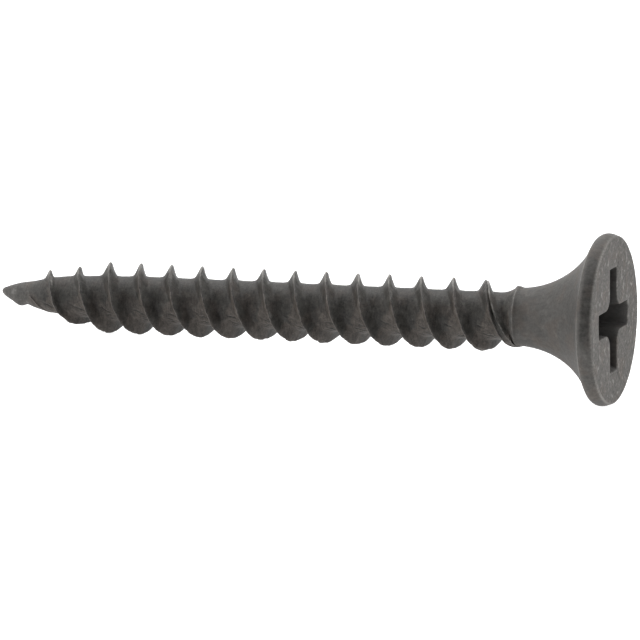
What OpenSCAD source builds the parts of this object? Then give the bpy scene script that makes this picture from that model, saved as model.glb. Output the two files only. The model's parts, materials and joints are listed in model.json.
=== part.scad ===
// Bugle-head, two-start, right-hand wood screw with a Phillips recess.
// It is one forged and rolled piece of steel, shown here as the zones that its making gives it.
// Units are millimetres. The screw lies along X: the head's flat face is in the plane X = 0,
// facing +X, and the point is at X = -screw_length. +Z is up. A "station" is a distance from
// the head's face, negative toward the point.

/* [Overall] */
// Nominal length, head face to point
screw_length = 32; // [25:1:50]

/* [Head] */
// Widest diameter of the rim
head_d = 8.3; // [7.8:0.02:8.6]
// Diameter of the flat face inside the rounded edge
face_d = 8; // [7.4:0.02:8.1]
// Diameter of the lip where the rim meets the flare
lip_d = 7.94; // [7.4:0.02:7.96]
// Height of the rim band
rim_h = 0.73; // [0.5:0.01:0.9]
// Radius of the concave flare under the rim
flare_arc = 4.5; // [4.4:0.1:5]

/* [Recess] */
// Span of the wings at the face
wing_span = 5.05; // [4.4:0.05:5.2]
// Width of a wing
wing_w = 1.2; // [1:0.05:1.3]
// Distance between opposite corner facets of the middle
core_flats = 2.3; // [2.2:0.02:2.44]
// Depth at which the wings end
wing_depth = 2.4; // [2:0.1:2.6]
// Slope of the wing ends, from the screw's axis
wing_slope = 26.5; // [24:0.5:28]
// Turn of the recess about the axis
recess_turn = 2.2; // [0:0.1:45]

/* [Shank] */
// Diameter of the plain neck under the flare
neck_d = 2.82; // [2.6:0.01:2.9]
// Diameter of the core between the threads
core_d = 2.29; // [2.2:0.01:2.5]
// Decay length of the point's taper: it comes within 5% of the core in three of these
point_decay = 2.2; // [2:0.05:3]
// Bluntness exponent of the point, from a round nose at 0.5 to a sharp one at 1
point_sharpness = 0.72; // [0.6:0.02:1]

/* [Thread] */
// Largest diameter over the crests
thread_d = 3.5; // [3.3:0.01:3.6]
// Number of starts
thread_starts = 2; // [2:1:2]
// Distance from crest to crest
crest_pitch = 1.64; // [1.5:0.01:1.8]
// Station of a crest of the first start on the upper side
crest_station = -6.45; // [-6.8:0.01:-6.3]
// Angle of the flank that faces the point
point_flank = 29; // [25:1:32]
// Angle of the flank that faces the head
head_flank = 21; // [18:1:25]
// Width of the crest
crest_w = 0.08; // [0.05:0.01:0.12]

/* [Hidden] */
$fn = 96;

steel_black = "#4b4947";
steel_dark = "#5a5755";
thread_black = "#646160";

head_r = head_d / 2;
face_r = face_d / 2;
lip_r = lip_d / 2;
neck_r = neck_d / 2;
core_r = core_d / 2;
thread_r = thread_d / 2;
lead = thread_starts * crest_pitch;

// The flare leaves the neck at a tangent, so its start follows from the arc and the lip.
flare_rise = flare_arc + neck_r - lip_r;
flare_station = -rim_h - sqrt(flare_arc * flare_arc - flare_rise * flare_rise);

// Where one zone ends and the next begins
neck_top = flare_station + 0.5;      // still nearly straight, just above the flare's start
neck_bottom = flare_station - 0.55;  // foot of the collar that the rolled thread leaves
collar_h = 0.3;                      // length of the collar's cone
point_top = -screw_length + 4.2;     // where the point's swelling is nearly done

arc_steps = 14;
rim_steps = 8;
point_steps = 14;
core_steps = 6;

// Radius of the core at a station: full along the shank and rounded off to nothing at the point
function core_at(s) =
    core_r * pow(1 - exp(-(s + screw_length) / point_decay), point_sharpness);

// Radius of the flare at a station
function flare_at(s) =
    neck_r + flare_arc - sqrt(flare_arc * flare_arc - pow(s - flare_station, 2));

// Radius of the rim at a station: its chord from face to lip, with a parabolic bulge on it
rim_bulge = head_r - (face_r + lip_r) / 2;
function rim_at(s) =
    let (part = -s / rim_h)
    face_r + (lip_r - face_r) * part + rim_bulge * 4 * part * (1 - part);

// A smooth step from 0 to 1 as v goes from a to b
function ramp(v, a, b) =
    let (t = min(1, max(0, (v - a) / (b - a))))
    t * t * (3 - 2 * t);

// Turns a shape that is drawn up +Z so that it points along +X, with +X of the drawing downward
module along_x() {
    rotate([0, 90, 0])
        children();
}

// Solid of revolution about the X axis from [radius, station] points
module turned(outline) {
    along_x()
        rotate_extrude()
            polygon(outline);
}

// The cross-shaped outline of the recess, with its inner corners cut by facets
module recess_outline() {
    for (turn = [0, 90])
        rotate(turn)
            square([wing_span + 1, wing_w], center = true);
    rotate(45)
        square(core_flats, center = true);
}

// The hollow that the driver fits: the cross cut down to a cone with a shallow conical floor
module recess() {
    floor_r = wing_span / 2 - wing_depth * tan(wing_slope);
    floor_slope = 20;
    over = 0.4;
    mouth_r = wing_span / 2 + over * tan(wing_slope);
    floor_station = -wing_depth - floor_r * tan(floor_slope);
    rotate([recess_turn, 0, 0])
        intersection() {
            along_x()
                translate([0, 0, floor_station])
                    linear_extrude(over - floor_station)
                        recess_outline();
            turned([[0, floor_station], [floor_r, -wing_depth], [mouth_r, over], [0, over]]);
        }
}

module bugle_head() {
    flare = [for (i = [0:arc_steps])
        let (s = neck_top + (-rim_h - neck_top) * i / arc_steps)
        [flare_at(s), s]];
    rim = [for (i = [1:rim_steps])
        let (s = -rim_h * (1 - i / rim_steps))
        [rim_at(s), s]];
    color(steel_black)
        difference() {
            turned(concat([[0, neck_top]], flare, rim, [[0, 0]]));
            recess();
        }
}

module plain_neck() {
    collar_end = neck_bottom + collar_h;
    foot_r = core_at(neck_bottom);
    flare = [for (i = [0:2])
        let (s = flare_station + (neck_top - flare_station) * i / 2)
        [flare_at(s), s]];
    color(steel_dark)
        turned(concat([[0, neck_bottom], [foot_r, neck_bottom], [neck_r, collar_end]],
                      flare, [[0, neck_top]]));
}

module threaded_core() {
    side = [for (i = [0:core_steps])
        let (part = i / core_steps, s = point_top + (neck_bottom - point_top) * part * part)
        [core_at(s), s]];
    color(steel_dark)
        turned(concat([[0, point_top]], side, [[0, neck_bottom]]));
}

module gimlet_point() {
    // The steps are closest together at the very tip, where the outline curves most.
    side = [for (i = [1:point_steps])
        let (part = i / point_steps, s = -screw_length + (point_top + screw_length) * part * part)
        [core_at(s), s]];
    color(steel_dark)
        turned(concat([[0, -screw_length]], side, [[0, point_top]]));
}

// Radius over the crests at a station: it climbs along the point and stays level on the shank
function crest_at(s) =
    min(thread_r, 0.45 + 0.24 * (s + screw_length));

turn_steps = 30;                        // flats in one turn of the thread
thread_begin = -screw_length + 1.1;     // first station that carries a thread
thread_end = neck_bottom - 0.28;        // last one, so that its foot just reaches the collar
least_h = 0.05;                         // height of the thread at its two ends
full_h = thread_r - core_r;

// Radius of the thread's feet: lifted a little, so that the middle of each flat rests on the core
foot_gap = 0.002;
function seat_at(s) = core_at(s) / cos(180 / turn_steps) + foot_gap;

// Height of the thread over the core: it grows from the first station and dies at the last
function thread_height(s) =
    let (full = crest_at(s) - core_at(s),
         grow = ramp(s, thread_begin, thread_begin + 1.2),
         fade = 1 - ramp(s, thread_end - 0.75, thread_end))
    least_h + (full - least_h) * grow * fade;

// One section of the thread, as [offset along the screw, radius] from foot to foot.
// A short fillet at each root carries the flanks down to the core.
function thread_section(s) =
    let (h = thread_height(s),
         fillet = 0.07 * h / full_h,
         low = s - crest_w / 2 - h * tan(point_flank),
         high = s + crest_w / 2 + h * tan(head_flank))
    [[low - fillet, seat_at(low - fillet)],
     [low + fillet, seat_at(low) + h * 0.17],
     [s - crest_w / 2, core_at(s) + h],
     [s + crest_w / 2, core_at(s) + h],
     [high - fillet / 2, seat_at(high) + h * 0.14],
     [high + fillet / 2, seat_at(high + fillet / 2)]];

// A helical ridge whose upper crests stand at the given station and every lead from it.
// It goes from the upper side (+Z) to the front (-Y) as it moves toward the head.
module thread_ridge(upper_crest) {
    first = thread_begin;
    count = floor((thread_end - first) / lead * turn_steps);
    step_s = (thread_end - first) / count;
    corners = 6;
    points = [for (i = [0:count])
        let (s = first + i * step_s, angle = 360 * (s - upper_crest) / lead)
        for (corner = thread_section(s))
            [corner[0], -corner[1] * sin(angle), corner[1] * cos(angle)]];
    last = count * corners;
    lower_half = [for (i = [0:count - 1], j = [0:corners - 1])
        let (a = i * corners, b = a + corners)
        [a + j, b + j, b + (j + 1) % corners]];
    upper_half = [for (i = [0:count - 1], j = [0:corners - 1])
        let (k = (j + 1) % corners, a = i * corners, b = a + corners)
        [a + j, b + k, a + k]];
    near_end = [[0, 1, 5], [1, 4, 5], [1, 2, 3], [1, 3, 4]];
    far_end = [for (t = near_end) [last + t[2], last + t[1], last + t[0]]];
    polyhedron(points = points, faces = concat(lower_half, upper_half, near_end, far_end));
}

module thread_start_a() {
    color(thread_black)
        thread_ridge(crest_station);
}

module thread_start_b() {
    color(thread_black)
        thread_ridge(crest_station + crest_pitch);
}

bugle_head();
plain_neck();
threaded_core();
thread_start_a();
thread_start_b();
gimlet_point();
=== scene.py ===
"""Visual model of a bugle-head wood screw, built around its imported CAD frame.

The screw lies along X with its head's flat face at X = 0. A "station" is a distance along the axis
from that face, in millimetres and negative toward the point. A "turn" is an angle round the axis,
0 on the upper side (+Z) and growing toward the front (-Y), in radians. Shapes are worked out in
millimetres and scaled to metres when their mesh is made.
"""

import json
import math

import bpy
import numpy as np
from mathutils import Matrix, Vector, noise


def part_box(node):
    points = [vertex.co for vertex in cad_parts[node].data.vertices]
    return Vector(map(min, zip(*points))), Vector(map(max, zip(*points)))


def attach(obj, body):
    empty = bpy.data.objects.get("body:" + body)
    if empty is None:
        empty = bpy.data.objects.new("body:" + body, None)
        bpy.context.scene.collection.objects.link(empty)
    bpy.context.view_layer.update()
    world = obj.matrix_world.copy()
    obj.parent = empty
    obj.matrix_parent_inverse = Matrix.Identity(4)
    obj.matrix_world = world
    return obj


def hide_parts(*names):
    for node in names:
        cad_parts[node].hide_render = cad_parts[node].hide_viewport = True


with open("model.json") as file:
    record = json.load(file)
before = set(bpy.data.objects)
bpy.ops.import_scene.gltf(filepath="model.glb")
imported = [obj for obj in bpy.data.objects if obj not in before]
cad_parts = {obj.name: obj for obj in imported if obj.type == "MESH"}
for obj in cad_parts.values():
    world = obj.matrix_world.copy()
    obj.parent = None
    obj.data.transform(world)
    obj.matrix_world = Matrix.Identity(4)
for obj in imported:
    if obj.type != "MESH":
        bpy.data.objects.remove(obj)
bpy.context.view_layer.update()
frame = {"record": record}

MM = 0.001
TAU = 2 * math.pi
mounts = {mount["name"]: mount["dims"] for mount in frame["record"]["mounts"]}


# ---------------------------------------------------------------- sizes, from the frame

def stations(node):
    """First and last station of a CAD node."""
    low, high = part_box(node)
    return low.x / MM, high.x / MM


def outer_radius(node):
    """Largest radius of a round CAD node."""
    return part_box(node)[1].z / MM


POINT, POINT_TOP = stations("gimlet_point")
NECK_BOTTOM, NECK_TOP = stations("plain_neck")
HEAD_R = outer_radius("bugle_head")
CORE_R = outer_radius("threaded_core")
THREAD_R = mounts["wood_thread"]["r_mm"]
LIP_R = mounts["bugle_seat"]["r_mm"]
WING_R = mounts["driver_recess"]["r_mm"]
WING_DEPTH = mounts["driver_recess"]["length_mm"]

# Head and neck
RIM_H = 0.73                # height of the rim band
RIM_PEAK = -0.43            # station where the rim is widest
EDGE_ROUND = 0.11           # rounding between face and rim
FACE_R = 3.95               # edge of the face, before its rounded edge
FACE_RISE = 0.045           # the face's edge stands a little proud ...
FACE_DISH = 0.065           # ... and the punch sank the recess's mouth by this much below it
HEAD_LIFT = 0.045           # the head is forged a little off the shank's axis
FLARE_ARC = 4.5             # radius of the concave flare
NECK_R = 1.41
FLARE_START = -RIM_H - math.sqrt(FLARE_ARC ** 2 - (FLARE_ARC + NECK_R - LIP_R) ** 2)

# Collar: where the rolling dies stopped
EDGE_STATION = -4.82        # station of its sharp edge on the upper side
EDGE_WAVE = 0.13            # how much nearer the head the edge is in front and behind
EDGE_H = 0.07               # height of the edge over the neck
EDGE_FALL = 0.14            # length over which the edge falls away to the neck
EDGE_BLUNT = 0.03           # rounding of the edge
COLLAR_RUN = 1.15           # length over which the grooves rise to the edge

# Recess
WING_W = 1.2                # width of a wing at the face
WING_SLOPE = math.tan(math.radians(26.5))
WALL_DRAFT = math.tan(math.radians(5.75))
CORNER_ROUND = 0.68         # rounding of the corners between the wings
RECESS_TURN = math.radians(2.2)
MOUTH_ROUND = 0.06          # rounding of the recess's edge
FLOOR_CONE = 0.42           # depth of the conical floor below the wings

# Point
POINT_DECAY = 2.2           # the point swells to the core within about three of these
POINT_SHARPNESS = 0.72      # from a round nose at 0.5 to a sharp one at 1

# Thread
CREST_PITCH = 1.64          # from crest to crest, with two starts
LEAD = 2 * CREST_PITCH
CREST_STATION = -6.45       # an upper crest of the first start
FLANK_R = 1.45              # radius halfway up the thread
LEAD_COS = math.cos(math.atan(LEAD / (TAU * FLANK_R)))
POINT_FLANK = 2.0           # fall of the flanks, per millimetre across the thread
HEAD_FLANK = 2.45
CREST_ROUND = 0.055         # half the width over which the crest is rounded
ROOT_FILLET = 0.12          # rounding where a flank meets the core
FOOT = 0.6                  # reach of the thread's foot to each side of the crest
FOOT_SUNK = 0.016           # depth of the foot's edge below the core's skin
RINGS_IN_TURN = 220
SEAM_TURNS = (2.0, 2.4, 2.65)   # where seams of the wire left folds, all along the shank
SEAM_LEAN = 0.65            # how far the folds lean across each groove
FURROW_START = -6.2         # station where the last crest opens into a furrow


# ---------------------------------------------------------------- curves and noise

def smooth_step(v, a, b):
    """0 at a, 1 at b, smooth between and level outside."""
    t = np.clip((v - a) / (b - a), 0, 1)
    return t * t * (3 - 2 * t)


def bell(v, centre, width):
    """A bell of height 1."""
    return np.exp(-((v - centre) / width) ** 2)


def smooth_max(a, b, fillet):
    """The larger of two heights, with a rounded meeting line."""
    return (a + b + np.sqrt((a - b) ** 2 + fillet ** 2)) / 2


def smooth_min(a, b, fillet):
    """The smaller of two heights, with a rounded meeting line."""
    return -smooth_max(-a, -b, fillet)


def drift(v, period, seed, octaves=3):
    """Smooth 1D wander between about -1 and 1, whose slowest waves are about a period long."""
    rng = np.random.default_rng(seed)
    total = np.zeros(np.shape(v))
    for octave in range(octaves):
        for _ in range(3):
            stretch = rng.uniform(0.7, 1.4) * 2 ** octave
            total += np.sin(TAU * (v / period * stretch + rng.uniform(0, 1))) / 2 ** octave
    return total / 3.2


def lumps(points, size, seed):
    """Smooth 3D noise between about -1 and 1, with lumps of the given size."""
    shift = Vector((17.3 * seed, 5.1 * seed, 9.7 * seed))
    flat = points.reshape(-1, 3) / size
    values = [noise.noise(Vector(p) + shift) for p in flat]
    return np.array(values).reshape(points.shape[:-1])


# ---------------------------------------------------------------- outline of the shaft

def front_turn(turn):
    """The same turn, between just above the upper side and once round to it."""
    return (turn + 1) % TAU - 1


def edge_station(turn):
    """Station of the collar's sharp edge."""
    return EDGE_STATION + EDGE_WAVE * np.sqrt(np.abs(np.sin(turn)))


def core_radius(s, turn):
    """Radius of the core: swelling from a blunt nose, with a waist and pinches near the point."""
    t = np.maximum(s - POINT, 0)
    point = CORE_R * (1 - np.exp(-t / POINT_DECAY)) ** POINT_SHARPNESS
    nose = 0.07 * (1 - np.exp(-t / 0.03)) * np.exp(-t / 0.35)
    pinched = 0.08 * bell(t, 1.4, 0.25) - 0.09 * bell(t, 0.95, 0.3)
    waist = 0.07 * bell(t, 1.75, 0.6) + pinched * np.clip(-np.cos(turn), 0, 1)
    return point + nose - waist


def base_radius(s, turn):
    """Radius of the shaft without its threads: point, core, collar, neck and flare."""
    past_edge = s - edge_station(turn)
    rise = NECK_R + EDGE_H - CORE_R
    groove = core_radius(s, turn) + rise * np.maximum(1 + past_edge / COLLAR_RUN, 0) ** 3
    past_neck = np.clip(s - FLARE_START, 0, FLARE_ARC * 0.999)
    flare = FLARE_ARC - np.sqrt(FLARE_ARC ** 2 - past_neck ** 2)
    neck = NECK_R + EDGE_H * bell(past_edge, 0, EDGE_FALL) + flare
    return smooth_min(groove, neck, EDGE_BLUNT)


def polar(s, r, turn):
    """Points at a station, a radius and a turn."""
    s, r, turn = np.broadcast_arrays(s, r, turn)
    return np.stack([s, -r * np.sin(turn), r * np.cos(turn)], axis=-1)


def shaft_dents(s, turn):
    """Small unevenness of the shaft: coarse where rolled, fine where forged, granular on the nib."""
    where = polar(s, base_radius(s, turn), turn)
    rolled = rolled_part(s)
    scaly = 0.5 + 0.5 * bell(front_turn(turn), 2.6, 1.0)
    coarse = 0.010 * lumps(where, 0.75, 1) + 0.009 * scaly * lumps(where, 0.24, 2)
    grains = 0.0015 + 0.008 * nib_part(s)
    fine = 0.005 * lumps(where, 1.1, 3) + grains * lumps(where, 0.16, 4)
    return rolled * (coarse + folds(s, turn)[0]) + (1 - rolled) * fine


def past_crest(s, turn):
    """Distance from the crest before a place, toward the head."""
    return (s - CREST_STATION - turn / TAU * LEAD) % CREST_PITCH


def folds(s, turn):
    """Folds along the wire's seams: cracks that lean across the grooves, with a raised edge above.

    Gives their height, and a tone from -1 in a crack to 1 on a raised edge: it paints shadow into the
    cracks and a highlight, partly real rubbing, on the raised edges.
    """
    height, tone = 0, 0
    into_groove = past_crest(s, turn)
    in_groove = smooth_step(into_groove, 0.35, 0.8)
    in_groove = in_groove * (1 - smooth_step(into_groove, 1.5, CREST_PITCH))
    for seed, seam in enumerate(SEAM_TURNS, 50):
        lean = SEAM_LEAN * (into_groove - CREST_PITCH / 2)
        above = (seam - front_turn(turn)) * 1.3 + lean - 0.12 * drift(s, 0.9, seed)
        amount = np.clip(0.45 + drift(s, 1.3, seed + 10), 0, 1) * in_groove
        raised = smooth_step(above, 0, 0.05) * np.exp(-np.clip(above, 0, 9) / 0.25)
        crack = bell(above, -0.06, 0.08)
        height = height + amount * (0.05 * raised - 0.04 * crack)
        tone = tone + amount * (bell(above, 0.06, 0.04) - crack)
    return height, tone


def rolled_part(s):
    """1 where the dies rolled the shank smooth, 0 on the forged head and on the pinched nib."""
    return smooth_step(s, POINT + 1.0, POINT + 3.0) * (1 - forged_part(s))


def forged_part(s):
    """1 on the forged neck and head, 0 on the rolled shank."""
    return smooth_step(s, EDGE_STATION - 0.1, EDGE_STATION + 0.1)


def nib_part(s):
    """1 on the granular nib, 0 from the first threads on."""
    return smooth_step(s, POINT + 2.4, POINT + 1.2)


def groove_painted_light(s, turn):
    """Painted light and shadow on the rolled coat, as a change from plain: painted light on tongues in
    the lower front and just before the collar, painted shadow beside the crests' roots, under the
    tongues, along the upper side and in the folds' cracks.
    """
    into_groove = past_crest(s, turn)
    place = front_turn(turn) + 0.1 * drift(s, 0.8, 91)
    leaning = place + 0.8 * (into_groove - 0.9)
    off_root = smooth_step(into_groove, 0.4, 0.7)
    beside = np.maximum(off_root, smooth_step(place, 2.0, 2.35))
    # Painted light on tongues of the lower front, leaning across each groove.
    tongue = 0.5 * smooth_step(leaning, 1.58, 1.82) * beside * (1 - smooth_step(place, 2.8, 3.4))
    # Painted shadow beside each crest's root, from the front downward.
    root = 0.22 * smooth_step(place, 0.9, 1.3) * (1 - beside)
    # Painted shadow along the upper side, in the middle of each groove.
    upper = 0.38 * bell(place, 0.22, 0.25) * np.sin(math.pi * into_groove / CREST_PITCH) ** 2
    # Painted shadow in a band below the tongues.
    under = 0.28 * bell(place, 2.67, 0.14) * off_root
    # Painted darkening in the folds' cracks.
    crack = 1.15 * np.minimum(folds(s, turn)[1], 0)
    # Painted light in front, just before the collar's edge.
    at_collar = 0.4 * bell(s, EDGE_STATION - 0.12, 0.14) * bell(front_turn(turn), 1.75, 0.55)
    return tongue - root - upper - under + crack + at_collar


def neck_darkening(s, turn):
    """How much darker the forged coat is than plain: most of all in front, beside the collar."""
    beside_collar = bell(s, EDGE_STATION + 0.42, 0.36) * bell(front_turn(turn), 1.35, 0.5)
    return 0.12 + 0.22 * beside_collar


def coat_tone_and_painted_light(s, turn):
    """How pale the shaft's coat is, where 1 is plain: painted light and shading in the grooves, the
    forged neck darker and the nib a little paler.
    """
    rolled = groove_painted_light(s, turn) * rolled_part(s)
    darkened = neck_darkening(s, turn) * forged_part(s)
    return 1 + rolled - darkened + 0.04 * nib_part(s)


def bent_nib(points):
    """Bends the last millimetre of the point a little upward, as the pinching left it."""
    t = np.maximum(points[..., 0] - POINT, 0)
    points[..., 2] += 0.11 * np.exp(-t / 0.45)
    points[..., 0] -= 0.05 * np.exp(-t / 0.3)
    return points


# ---------------------------------------------------------------- mesh making

SHARP_ANGLE = math.radians(55)


def ring_faces(rows, columns):
    """Quads between closed rings of points, with normals along (row step) x (column step)."""
    faces = []
    for i in range(rows - 1):
        for j in range(columns):
            k = (j + 1) % columns
            a, b = i * columns, (i + 1) * columns
            faces.append((a + j, b + j, b + k, a + k))
    return faces


def fan_faces(first, columns, centre):
    """Triangles from a ring to a centre point, with normals along (outward) x (column step)."""
    return [(centre, first + j, first + (j + 1) % columns) for j in range(columns)]


def flipped(faces):
    """The same faces, seen from the other side."""
    return [face[::-1] for face in faces]


def make_piece(name, points, faces, marks, material):
    """A piece that stands for the CAD node of the same name. marks are values for each point."""
    mesh = bpy.data.meshes.new(name)
    mesh.from_pydata((points * MM).tolist(), [], faces)
    for mark, values in marks.items():
        mesh.attributes.new(mark, "FLOAT", "POINT").data.foreach_set("value", values.ravel())
    mesh.materials.append(material)
    mesh.shade_smooth()
    mesh.set_sharp_from_angle(angle=SHARP_ANGLE)
    piece = bpy.data.objects.new(name + "_visual", mesh)
    bpy.context.scene.collection.objects.link(piece)
    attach(piece, "root")
    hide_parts(name)
    return piece


def turned_piece(name, rows, columns, material):
    """A round piece through the shaft's outline at the given stations, closed at both ends."""
    turn = np.arange(columns) * TAU / columns
    s = rows[:, None]
    radius = base_radius(s, turn[None, :]) + shaft_dents(s, turn[None, :])
    points = bent_nib(polar(s, radius, turn[None, :]))
    count = len(rows) * columns
    ends = np.array([[rows[0], 0, 0], [rows[-1], 0, 0]], dtype=float)
    ends[0, 2] = points[0, :, 2].mean()
    last = count - columns
    faces = flipped(ring_faces(len(rows), columns))
    faces += fan_faces(0, columns, count)
    faces += flipped(fan_faces(last, columns, count + 1))
    every = np.concatenate([points.reshape(-1, 3), ends])
    return make_piece(name, every, faces, turned_marks(every), material)


def turned_marks(points):
    """Marks of a round piece: it is worn on the collar's edge, with a painted highlight along its
    upper side, on the tip, and on raised folds, where the paleness is partly a painted highlight.
    """
    s = points[:, 0]
    turn = np.arctan2(-points[:, 1], points[:, 2])
    # The collar's edge is worn all round, with a painted highlight added along its upper side.
    rubbed_and_highlit = 0.12 + 0.15 * drift(turn, 0.8, 71) + 0.35 * bell(front_turn(turn), 0.2, 0.8)
    on_edge = rubbed_and_highlit * bell(s, edge_station(turn) - 0.01, 0.03)
    on_tip = 0.2 * bell(s, POINT, 0.15)
    on_folds = 0.3 * rolled_part(s) * np.maximum(folds(s, turn)[1], 0)
    return {
        "rolled": rolled_part(s),
        "wear_and_highlight": on_edge + on_tip + on_folds,
        "tone_and_painted_light": coat_tone_and_painted_light(s, turn),
        "grit": 0.45 * nib_part(s),
    }


# ---------------------------------------------------------------- thread

def crest_radius(s, first_start):
    """Radius over the crests: it climbs along the point, stays level and dies at the collar."""
    t = s - POINT
    if first_start:
        climb = 0.54 + 0.7 * smooth_step(t, 1.5, 2.55) + 0.2 * smooth_step(t, 3.4, 4.4)
    else:
        climb = 0.72 + 0.14 * smooth_step(t, 1.5, 2.4) + 0.62 * smooth_step(t, 2.7, 4.2)
    level = THREAD_R + 0.01 - 0.04 * smooth_step(s, -26, -6.5)
    point = climb + (level - climb) * smooth_step(t, 4.1, 5.8)
    shank = point + (NECK_R + EDGE_H - level) * smooth_step(s, -6.4, EDGE_STATION)
    return shank - 0.3 * smooth_step(s, EDGE_STATION + 0.05, EDGE_STATION + 0.35)


def crest_lag(s, first_start):
    """How far the crest strays from an even helix on the point, where the dies pinched it."""
    t = s - POINT
    if first_start:
        return 0.26 * bell(t, 3.6, 0.5) - 0.38 * bell(t, 1.6, 0.55)
    return 0.05 * bell(t, 4.5, 0.4) - 0.13 * bell(t, 2.4, 0.6)


def flank_fall(across, fatness):
    """How far the ridge has fallen at a distance across it, from its rounded crest."""
    steepness = np.where(across < 0, POINT_FLANK, HEAD_FLANK) / fatness
    return steepness * (np.sqrt(across ** 2 + CREST_ROUND ** 2) - CREST_ROUND)


def flakes(across, turn, seed):
    """Pressed scales near the seam, one to a turn: each is a low dome with an abrupt edge."""
    rng = np.random.default_rng(seed)
    height = 0 * across
    first_turn = turn.min() // TAU
    for i in range(int((turn.max() - turn.min()) / TAU) + 2):
        for _ in range(2):
            seam = (first_turn + i) * TAU + rng.uniform(1.7, 2.5)
            beside = rng.uniform(-0.26, -0.08)
            long = rng.uniform(0.1, 0.22)
            wide = rng.uniform(0.07, 0.13)
            gap = 1 - ((turn - seam) * 1.5 / long) ** 2 - ((across - beside) / wide) ** 2
            height = height + rng.uniform(0.02, 0.045) * np.sqrt(np.clip(gap, 0, 1))
    return height


def ragged_crest(full, present, turn, seed):
    """Radius of the crest with its ragged edge and a nick here and there."""
    ragged = 0.022 * drift(turn, 1.7, seed + 2) + 0.035 * np.abs(drift(turn, 1.1, seed + 3, 2))
    nicks = 0.07 * np.clip(drift(turn, 1.1, seed + 4, 4) - 0.7, 0, 1)
    return full + (ragged - 0.015 - nicks) * present


def crest_sway(across, turn, seed):
    """How far the crest wanders to and fro along the screw, most of all at its torn edge."""
    sway = 0.03 * drift(turn, 2.2, seed) + 0.014 * drift(turn, 0.45, seed + 1)
    torn = 0.014 * drift(turn, 0.18, seed + 9, 1)
    return sway * bell(across, 0, 0.2) + torn * bell(across, 0, 0.06)


def second_lip(s, turn, seed):
    """A lip on the head side of the crest: how far beside it, and how far below it."""
    apart = 0.07 + 0.05 * smooth_step(s, -7.2, -6.5) + 0.26 * smooth_step(s, -6.3, -4.9)
    turns_before = np.clip(FURROW_START - s, 0, 9) / LEAD
    scratched = np.clip(drift(turn, 3.3, seed + 6) - 0.15, 0, 1)
    lower = (0.2 - 0.15 * scratched) * (1 - np.exp(-(turns_before / 0.15) ** 2))
    return apart, lower


def ridge_radius(s, turn, across, crest, lip, seed):
    """Radius of the ridge's skin, with the scratch or furrow that parts its two lips."""
    apart, lower = lip
    fatness = (1 + 0.1 * drift(turn, 4, seed + 5)) * (1 - 0.08 * bell(front_turn(turn), 0, 0.7))
    first = crest - flank_fall(across, fatness)
    second = crest - lower - flank_fall((across - apart) * 1.25, fatness)
    depth = 0.04 + 0.16 * bell(s, -5.85, 0.28)
    furrow = crest - depth - 4 * np.maximum(np.abs(across - apart / 2) - apart / 2, 0)
    return smooth_max(smooth_max(first, second, 0.025), furrow, 0.04)


def foot_fillet(across, turn, narrow):
    """Rounding at the thread's foot: larger on the head side in front, on the point side on top."""
    on_top = bell(front_turn(turn), 0, 0.6)
    head_side = 0.6 * (1 - on_top) * smooth_step(across, 0, 0.2)
    point_side = 0.25 * on_top * smooth_step(-across, 0, 0.2)
    return ROOT_FILLET * narrow * (1 + head_side + point_side)


def crest_wear_and_highlight(across, turn, lip, seed):
    """Rubbing along the crest, and along the second lip where there is one, with a painted highlight
    that is broadest and strongest along the upper side.
    """
    apart, lower = lip
    doubled = smooth_step(lower, 0.15, 0.06)
    broad = 0.028 + 0.03 * bell(front_turn(turn), 0.2, 0.5)
    on_crest = (1 - 0.7 * doubled) * bell(across, -0.02, broad)
    on_lip = 2 * doubled * bell(across, apart, 0.035)
    amount = 0.1 + 0.7 * bell(front_turn(turn), 0.15, 0.55) + 0.2 * drift(turn, 0.5, seed + 8)
    return np.clip((on_crest + on_lip) * amount, 0, 1)


def thread_piece(name, material, first_start, seed):
    """One helical ridge, from its beginning on the point to its end at the collar."""
    upper = CREST_STATION + (0 if first_start else CREST_PITCH)
    begin = POINT + (1.4 if first_start else 1.8)
    end = EDGE_STATION + 0.3
    count = int((end - begin) / LEAD * RINGS_IN_TURN)
    s = np.linspace(begin, end, count)[:, None]
    turn = (s - upper) / LEAD * TAU
    full = crest_radius(s, first_start)
    height = full - base_radius(s, turn)
    present = smooth_step(height, 0.05, 0.4)
    narrow = np.clip(height / (THREAD_R - CORE_R), 0.25, 1) ** 0.8

    # The columns across the ridge are closest together at its crest.
    left = -FOOT * np.linspace(1, 0, 15) ** 1.3
    right = (FOOT + 0.02) * np.linspace(0, 1, 21)[1:] ** 1.3
    across = np.concatenate([left, right])[None, :] * narrow + 0 * s
    along = s + across / LEAD_COS
    lip = second_lip(s, turn, seed)
    ridge = ridge_radius(s, turn, across, ragged_crest(full, present, turn, seed), lip, seed)
    ridge = ridge + flakes(across, turn, seed + 7) * (across < 0) * present
    ridge = ridge + rolled_part(s) * folds(along, turn)[0]

    station = along - crest_lag(s, first_start) + crest_sway(across, turn, seed) / LEAD_COS
    ground = base_radius(station, turn) + shaft_dents(station, turn)
    from_edge = np.minimum(across - across[:, :1], across[:, -1:] - across)
    sunk = FOOT_SUNK * (1 - smooth_step(from_edge, 0, 0.1))
    radius = smooth_max(ground, ridge, foot_fillet(across, turn, narrow)) - sunk

    points = bent_nib(polar(station, radius, turn))
    columns = across.shape[1]
    faces = ring_faces(count, columns)
    faces.append(tuple(range(columns)))
    faces.append(tuple(reversed(range((count - 1) * columns, count * columns))))
    wear_and_highlight = crest_wear_and_highlight(across, turn, lip, seed) * smooth_step(height, 0.02, 0.3)
    marks = {"rolled": rolled_part(station), "wear_and_highlight": wear_and_highlight, "tone_and_painted_light": coat_tone_and_painted_light(along, turn)}
    return make_piece(name, points.reshape(-1, 3), faces, marks, material)


# ---------------------------------------------------------------- head

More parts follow.
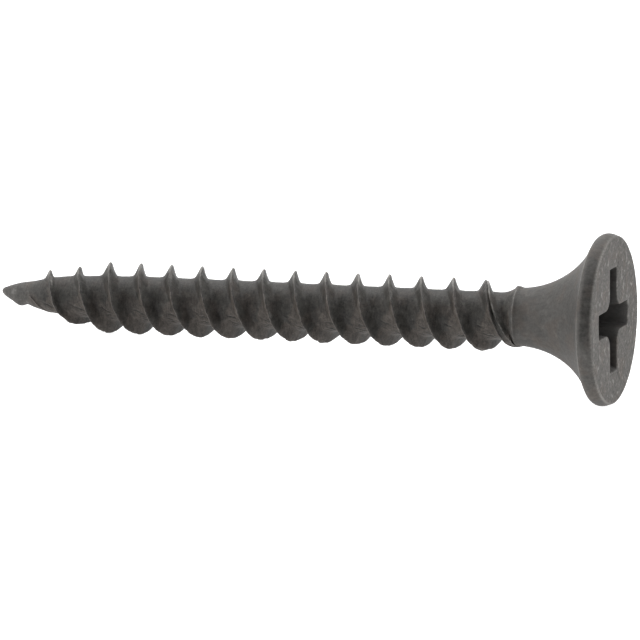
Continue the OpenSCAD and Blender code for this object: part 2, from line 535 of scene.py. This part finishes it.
def recess_outline(depth, out):
    """The recess's cross-section at a depth, grown outward by out, as points once round.

    Each quadrant runs from the middle of a wing's end along its wall, round the corner between
    the wings and along the next wing's wall to the middle of that wing's end.
    """
    half = WING_W / 2 - WALL_DRAFT * depth + out
    end = WING_R - WING_SLOPE * depth + out
    corner = min(half + CORNER_ROUND - out, end - 0.02)
    quadrant = [complex(end, half * i / 7) for i in range(7)]
    quadrant += [complex(end + (corner - end) * i / 24, half) for i in range(24)]
    for angle in np.linspace(0, math.pi / 2, 22, endpoint=False):
        quadrant.append(complex(corner - (corner - half) * math.sin(angle),
                                corner - (corner - half) * math.cos(angle)))
    quadrant += [complex(half, corner + (end - corner) * i / 24) for i in range(24)]
    quadrant += [complex(half * (1 - i / 7), end) for i in range(7)]
    outline = np.concatenate([np.array(quadrant) * 1j ** q for q in range(4)])
    blur = [1, 2, 3, 2, 1]
    return sum(weight * np.roll(outline, i - 2) for i, weight in enumerate(blur)) / sum(blur)


def rim_profile():
    """[radius, station] from the face's edge round the rim to the lip."""
    edge = [(FACE_R + EDGE_ROUND * math.sin(a), FACE_RISE - EDGE_ROUND * (1 - math.cos(a)))
            for a in np.radians([10, 25, 40, 55, 70])]
    band = []
    for s in np.linspace(-0.1, -RIM_H + 0.03, 16):
        side = 0.33 if s > RIM_PEAK else 0.28
        drop = 0.08 if s > RIM_PEAK else 0.12
        band.append((HEAD_R - drop * ((s - RIM_PEAK) / side) ** 2, s))
    lip = [(LIP_R + 0.012, -RIM_H - 0.002), (LIP_R - 0.02, -RIM_H - 0.022)]
    return edge + band + lip


class Skin:
    """A closed skin grown ring by ring, each ring a closed outline in the plane of a station."""

    def __init__(self):
        self.rings = []
        self.marks = {"wear_and_highlight": [], "tone_and_painted_light": [], "rolled": [], "grit": []}

    def ring(self, outline, station, wear_and_highlight=0.0, tone_and_painted_light=1.0, rolled=0.0, grit=0.0):
        """Adds an outline whose real part is +Y and whose imaginary part is +Z."""
        stations = np.full(len(outline), station)
        self.rings.append(np.stack([stations, outline.real, outline.imag], axis=-1))
        for mark, value in zip(self.marks.values(), (wear_and_highlight, tone_and_painted_light, rolled, grit)):
            mark.append(np.broadcast_to(value, len(outline)))


def add_recess(skin):
    """The recess from its conical floor up the drafted walls and over the rounded edge."""
    deepest = recess_outline(WING_DEPTH, 0)
    # The floor and walls are painted dark as shadow, at 0.3 of plain.
    for part in np.linspace(0.08, 0.95, 12):
        skin.ring(deepest * part, -WING_DEPTH - FLOOR_CONE * (1 - part) ** 0.8, tone_and_painted_light=0.3)
    mouth = FACE_RISE - FACE_DISH
    # The walls' painted darkening eases toward the mouth.
    for depth in np.linspace(WING_DEPTH, MOUTH_ROUND, 26):
        tone_and_painted_light = 0.3 + 0.4 * bell(depth, 0, 0.25)
        skin.ring(recess_outline(depth, 0), mouth - depth, tone_and_painted_light=tone_and_painted_light)
    for lean in np.radians([75, 60, 45, 30, 15, 0]):
        out = MOUTH_ROUND * (1 - math.sin(lean))
        depth = MOUTH_ROUND * (1 - math.cos(lean))
        wear_and_highlight = 0.25 * bell(lean, 0.5, 0.4)
        skin.ring(recess_outline(depth, out), mouth - depth, wear_and_highlight=wear_and_highlight, grit=1)


def add_face(skin):
    """The face, from the recess's edge out to the rim. Its columns even out on the way."""
    mouth = recess_outline(0, MOUTH_ROUND)
    even = np.arange(len(mouth)) * TAU / len(mouth)
    skew = np.unwrap(np.angle(mouth)) - even
    for part in np.linspace(0, 1, 40)[1:]:
        radius = np.abs(mouth) + (FACE_R - np.abs(mouth)) * part
        inward = (FACE_R - radius.mean()) / (FACE_R - np.abs(mouth).mean())
        station = FACE_RISE - FACE_DISH * max(inward, 0) ** 1.5
        angle = even + skew * (1 - part ** 2)
        skin.ring(radius * np.exp(1j * angle), station, tone_and_painted_light=1.12, grit=1)


def add_rim(skin, around, turn):
    """The rim band: worn on its two edges, with painted highlights in patches there, and painted dark
    along its middle as shadow, but for painted light on its upper side and lower front.
    """
    # Painted highlights in patches on the face's edge and the lip, on the upper and lower front.
    rubbed_and_highlit = 0.3 * bell(turn, 0.6, 0.4) + 0.5 * bell(turn, 2.6, 0.4)
    on_lip = 0.18 + 0.3 * drift(turn, 1.3, 61) + rubbed_and_highlit
    # Painted light on the band's upper side and lower front, lifting its painted darkening.
    below = smooth_step(turn, 1.6, 1.8) * (1 - smooth_step(turn, 2.9, 3.3))
    band_painted_light = 0.8 * bell(turn, 0.2, 0.5) + below
    for radius, station in rim_profile():
        wear_and_highlight = (0.25 + rubbed_and_highlit) * bell(station, FACE_RISE - 0.03, 0.04)
        wear_and_highlight = wear_and_highlight + on_lip * bell(station, -RIM_H, 0.04)
        # Painted darkening along the band's middle, through a lower tone and the darker rolled colour.
        band = smooth_step(station, -0.66, -0.42) * (1 - smooth_step(station, -0.1, -0.03))
        tone_and_painted_light = 1 - band * (0.4 - 0.45 * band_painted_light)
        skin.ring(radius * around, station, wear_and_highlight, tone_and_painted_light, rolled=(0.5 - 0.45 * band_painted_light) * band)


def add_flare(skin, around, turn):
    """The flare, from the lip down to the neck, with a little painted shadow in front, near the lip.
    """
    top = -RIM_H - 0.03
    for station in top + (NECK_TOP - top) * np.linspace(0, 1, 56)[1:] ** 1.25:
        painted_front_dimming = 1 - 0.2 * bell(station, -1.2, 0.7) * bell(turn, 1.4, 0.6)
        tone_and_painted_light = painted_front_dimming * coat_tone_and_painted_light(station, turn)
        skin.ring(base_radius(station, turn) * around, station, tone_and_painted_light=tone_and_painted_light)


def head_piece(name, material):
    """The forged head: recess, face, rim and flare as one closed skin."""
    skin = Skin()
    add_recess(skin)
    add_face(skin)
    columns = len(skin.rings[0])
    angle = np.arange(columns) * TAU / columns
    around = np.exp(1j * angle)
    turn = front_turn(angle - TAU / 4)
    add_rim(skin, around, turn)
    add_flare(skin, around, turn)
    points = np.concatenate(skin.rings)
    count = len(points)
    points = points @ np.array(Matrix.Rotation(RECESS_TURN, 3, "X")).T
    ends = np.array([[-WING_DEPTH - FLOOR_CONE - 0.01, 0, 0], [NECK_TOP, 0, 0]])
    faces = ring_faces(len(skin.rings), columns)
    faces += fan_faces(0, columns, count)
    faces += flipped(fan_faces(count - columns, columns, count + 1))
    marks = {}
    for mark, values in skin.marks.items():
        marks[mark] = np.append(np.concatenate(values), [0.2, 1])
    return make_piece(name, np.concatenate([forged(points), ends]), faces, marks, material)


def forged(points):
    """The head's skin with its forging marks: shallow waves all round and pits in the face."""
    radius = np.hypot(points[:, 1], points[:, 2])
    outward = points * [0, 1, 1] / radius[:, None]
    face = points[:, 0] > FACE_RISE - FACE_DISH - 0.001
    side = ~face & ((points[:, 0] < -RIM_H - 0.03) | (radius > LIP_R - 0.1))
    waves = 0.005 * lumps(points, 1.1, 3) + 0.0025 * lumps(points, 0.16, 4)
    pits = 0.03 * np.clip(lumps(points, 0.3, 6) - 0.4, 0, 1)
    pitted = np.minimum(0.006 * lumps(points, 0.5, 7) - pits, 0.003)
    moved = points + outward * (waves * side)[:, None]
    moved[:, 0] += pitted * face
    moved[:, 2] += HEAD_LIFT * smooth_step(points[:, 0], FLARE_START, -RIM_H)
    return moved


# ---------------------------------------------------------------- materials

class Graph:
    """A short way to add and join shader nodes."""

    def __init__(self, tree):
        self.tree = tree
        tree.nodes.clear()

    def add(self, kind, inputs=(), **settings):
        """Adds a node. Each input is a plain value, or another node's output to join to it."""
        node = self.tree.nodes.new(kind)
        for key, value in settings.items():
            setattr(node, key, value)
        for socket, value in dict(inputs).items():
            if isinstance(value, bpy.types.NodeSocket):
                self.tree.links.new(value, node.inputs[socket])
            else:
                node.inputs[socket].default_value = value
        return node

    def noise(self, where, size, detail=3.0, roughness=0.6):
        """Noise between 0 and 1 with lumps of the given size."""
        inputs = {"Vector": where, "Scale": 1 / size, "Detail": detail, "Roughness": roughness}
        return self.add("ShaderNodeTexNoise", inputs).outputs["Fac"]

    def mark(self, name):
        """One of the marks that make_piece stores in the mesh."""
        return self.add("ShaderNodeAttribute", attribute_name=name).outputs["Fac"]

    def between(self, value, low, high, to_low=0.0, to_high=1.0):
        """Maps low..high smoothly to to_low..to_high, level outside."""
        inputs = {"Value": value, "From Min": low, "From Max": high,
                  "To Min": to_low, "To Max": to_high}
        node = self.add("ShaderNodeMapRange", inputs, interpolation_type="SMOOTHSTEP")
        return node.outputs["Result"]

    def math(self, operation, a, b):
        return self.add("ShaderNodeMath", {0: a, 1: b}, operation=operation).outputs[0]

    def blend(self, amount, a, b):
        """Mixes two colours."""
        node = self.add("ShaderNodeMix", data_type="RGBA")
        for socket, value in ((0, amount), (6, a), (7, b)):
            if isinstance(value, bpy.types.NodeSocket):
                self.tree.links.new(value, node.inputs[socket])
            else:
                node.inputs[socket].default_value = value
        return node.outputs[2]


FORGED = (0.0697, 0.0665, 0.0622, 1)
FORGED_BROWN = (0.0750, 0.0665, 0.0595, 1)
ROLLED = (0.0350, 0.0330, 0.0297, 1)
ROLLED_BROWN = (0.0380, 0.0328, 0.0286, 1)
PALE_SPECK = (0.26, 0.255, 0.245, 1)
# The colour of worn edges and of painted highlights.
RUBBED_AND_HIGHLIT = (0.27, 0.26, 0.245, 1)


def coat_colour(g, marks, noises):
    """The coat's colour: unevenly toned and scaled by its tone and painted light, browned in patches
    and where that painted light is strongest, and pale on specks, worn edges and painted highlights.
    """
    rolled, wear_and_highlight, tone_and_painted_light, grit = marks
    mottle, grain, streak, patch, specks = noises
    plain = g.blend(rolled, FORGED, ROLLED)
    brown = g.blend(rolled, FORGED_BROWN, ROLLED_BROWN)
    # Browned also where the painted light is strongest, on the tongues.
    browned = g.math("MAXIMUM", g.between(patch, 0.45, 0.65), g.between(tone_and_painted_light, 1.05, 1.3))
    colour = g.blend(browned, plain, brown)

    uneven = g.between(mottle, 0.25, 0.75, -0.36, 0.36)
    uneven = g.math("ADD", uneven, g.between(grain, 0.25, 0.75, -0.3, 0.3))
    uneven = g.math("ADD", uneven, g.between(streak, 0.3, 0.7, -0.17, 0.17))
    coarse = g.between(g.math("MAXIMUM", grit, rolled), 0, 1, 0.45, 1.0)
    tone = g.math("ADD", g.math("MULTIPLY", uneven, coarse), 1.0)
    tone = g.math("MULTIPLY", tone_and_painted_light, tone)
    toned = g.add("ShaderNodeVectorMath", {0: colour, "Scale": tone}, operation="SCALE")

    speck = g.between(specks, 0.56, 0.74, 0, 0.6)
    speck = g.math("MULTIPLY", speck, g.between(grit, 0, 1, 0.1, 1))
    colour = g.blend(g.math("MULTIPLY", speck, tone_and_painted_light), toned.outputs[0], PALE_SPECK)
    # Pale where worn and where highlights are painted.
    rubbed_and_highlit = g.math("MULTIPLY", wear_and_highlight, g.between(grain, 0.3, 0.6, 0.5, 1.0))
    return g.blend(rubbed_and_highlit, colour, RUBBED_AND_HIGHLIT)


def phosphate(name, streak_sizes, grain_size):
    """Black phosphate on steel, matte and mottled where forged, darker and smoother where rolled.

    It is streaked more finely across the tool marks: streak_sizes are along X, Y and Z.
    """
    material = bpy.data.materials.new(name)
    material.use_nodes = True
    g = Graph(material.node_tree)
    where = g.add("ShaderNodeTexCoord").outputs["Object"]
    scale = [1 / size for size in streak_sizes]
    along_marks = g.add("ShaderNodeMapping", {"Vector": where, "Scale": scale}).outputs[0]
    rolled, wear_and_highlight, tone_and_painted_light, grit = (g.mark(mark) for mark in ("rolled", "wear_and_highlight", "tone_and_painted_light", "grit"))
    mottle = g.noise(where, 0.34 * MM, 4, 0.65)
    grain = g.noise(where, grain_size, 3, 0.6)
    streak = g.noise(along_marks, 1, 2, 0.5)
    patch = g.noise(where, 0.9 * MM, 2, 0.5)
    specks = g.noise(where, 0.34 * MM, 3, 0.55)
    colour = coat_colour(g, (rolled, wear_and_highlight, tone_and_painted_light, grit), (mottle, grain, streak, patch, specks))

    rough = g.between(rolled, 0, 1, 0.65, 0.55)
    rough = g.math("ADD", rough, g.between(mottle, 0.3, 0.7, -0.06, 0.06))
    relief = g.math("ADD", g.math("MULTIPLY", grain, 0.5), mottle)
    relief = g.math("ADD", relief, g.math("MULTIPLY", streak, 0.4))
    bump = {"Height": relief, "Strength": 0.6, "Distance": 0.03 * MM}
    normal = g.add("ShaderNodeBump", bump).outputs[0]
    shader = g.add("ShaderNodeBsdfPrincipled", {
        "Base Color": colour,
        "Roughness": rough,
        "Normal": normal,
        "Metallic": 0.0,
        "IOR": 1.5,
        "Specular IOR Level": 0.25,
    })
    g.add("ShaderNodeOutputMaterial", {"Surface": shader.outputs[0]})
    return material


def floor_material():
    material = bpy.data.materials.new("pale_floor")
    material.use_nodes = True
    g = Graph(material.node_tree)
    shader = g.add("ShaderNodeBsdfPrincipled", {
        "Base Color": (0.3, 0.3, 0.3, 1),
        "Roughness": 0.9,
        "Emission Color": (1, 1, 1, 1),
        "Emission Strength": 0.95,
    })
    g.add("ShaderNodeOutputMaterial", {"Surface": shader.outputs[0]})
    return material


# ---------------------------------------------------------------- stage

CAMERA_AZIMUTH = math.radians(20.04)
CAMERA_ELEVATION = math.radians(7.535)
CAMERA_DISTANCE = 195.89
CAMERA_ASIDE = -14.074      # the view's centre, from the middle of the head's face, along the picture
CAMERA_RISE = 0.05
CAMERA_LENS = 230.28

LOW_CREST = -26.2           # station of the crest that the screw lies on
FLOOR_GAP = 0.02
FLOOR_REACH = 2500          # from the floor's middle to its edges


def direction(azimuth, elevation):
    """Direction from the screw, by azimuth from -Y toward +X and elevation."""
    level = math.cos(elevation)
    return Vector((math.sin(azimuth) * level, -math.cos(azimuth) * level, math.sin(elevation)))


def camera_axes():
    """The picture's right, up and backward directions."""
    back = direction(CAMERA_AZIMUTH, CAMERA_ELEVATION)
    right = direction(CAMERA_AZIMUTH + TAU / 4, 0)
    return right, back.cross(right), back


def make_camera():
    right, up, back = camera_axes()
    data = bpy.data.cameras.new("camera")
    data.lens, data.sensor_width = CAMERA_LENS, 36
    data.clip_start, data.clip_end = 0.01, 10
    camera = bpy.data.objects.new("camera", data)
    place = CAMERA_ASIDE * right + CAMERA_RISE * up + CAMERA_DISTANCE * back
    facing = Matrix((right, up, back)).transposed().to_4x4()
    camera.matrix_world = Matrix.Translation(place * MM) @ facing
    bpy.context.scene.collection.objects.link(camera)
    bpy.context.scene.camera = camera


def make_floor():
    """A pale, softly glowing floor that the screw lies on, at its rim and a crest near the point."""
    rim = Vector((RIM_PEAK, 0, -HEAD_R))
    crest = Vector((LOW_CREST, 0, -THREAD_R - FLOOR_GAP))
    along = (rim - crest).normalized()
    normal = Vector((-along.z, 0, along.x))
    across = normal.cross(along)
    middle = (rim + crest) / 2 - normal * FLOOR_GAP
    corners = []
    for a, b in ((-1, -1), (1, -1), (1, 1), (-1, 1)):
        corners.append((middle + FLOOR_REACH * (a * along + b * across)) * MM)
    mesh = bpy.data.meshes.new("floor")
    mesh.from_pydata([tuple(corner) for corner in corners], [], [(0, 3, 2, 1)])
    mesh.materials.append(floor_material())
    floor = bpy.data.objects.new("floor", mesh)
    bpy.context.scene.collection.objects.link(floor)


# Soft lights of the surround: [azimuth from the camera, elevation, spread, strength]
SOFT_LIGHTS = {
    "left": (-84, 24, 17, 4.8),
    "top": (-162, 67, 18, 5.6),
    "behind": (178, -10, 19, 5.5),
    "right": (78, 42, 15, 6.4),
}
DIM_LEVEL = 0.02            # the surround between the lights


def make_surround():
    """A dim studio with a few large soft lights, which the camera itself sees as plain white."""
    world = bpy.data.worlds.new("surround")
    world.use_nodes = True
    bpy.context.scene.world = world
    g = Graph(world.node_tree)
    looking = g.add("ShaderNodeTexCoord").outputs["Generated"]
    level = DIM_LEVEL
    for azimuth, elevation, spread, strength in SOFT_LIGHTS.values():
        toward = direction(CAMERA_AZIMUTH + math.radians(azimuth), math.radians(elevation))
        facing = g.add("ShaderNodeVectorMath", {0: looking, 1: toward}, operation="DOT_PRODUCT")
        off_centre = g.math("SUBTRACT", facing.outputs["Value"], 1.0)
        falloff = g.math("MULTIPLY", off_centre, 1 / math.radians(spread) ** 2)
        light = g.math("MULTIPLY", g.math("EXPONENT", falloff, 0), strength)
        level = g.math("ADD", light, level)
    seen = g.add("ShaderNodeLightPath").outputs["Is Camera Ray"]
    level = g.math("MAXIMUM", level, seen)
    background = g.add("ShaderNodeBackground", {"Color": (1, 1, 1, 1), "Strength": level})
    g.add("ShaderNodeOutputWorld", {"Surface": background.outputs[0]})


# ---------------------------------------------------------------- build

make_camera()
make_surround()
make_floor()

bpy.context.scene.view_settings.view_transform = "Standard"

steel_head = phosphate("head_phosphate", (1.2 * MM, 0.15 * MM, 0.15 * MM), 0.12 * MM)
steel_shank = phosphate("shank_phosphate", (0.06 * MM, 0.5 * MM, 0.5 * MM), 0.09 * MM)
steel_thread = phosphate("thread_phosphate", (0.06 * MM, 0.5 * MM, 0.5 * MM), 0.07 * MM)

# The point's rings are closest together at the tip, where its outline curves most.
point_rows = POINT + (POINT_TOP - POINT) * np.linspace(0.003, 1, 90) ** 1.4
core_rows = np.linspace(POINT_TOP, NECK_BOTTOM, 420)
neck_rows = np.linspace(NECK_BOTTOM, NECK_TOP, 56)
turned_piece("gimlet_point", point_rows, 160, steel_shank)
turned_piece("threaded_core", core_rows, 200, steel_shank)
turned_piece("plain_neck", neck_rows, 200, steel_shank)
thread_piece("thread_start_a", steel_thread, True, 11)
thread_piece("thread_start_b", steel_thread, False, 31)
head_piece("bugle_head", steel_head)
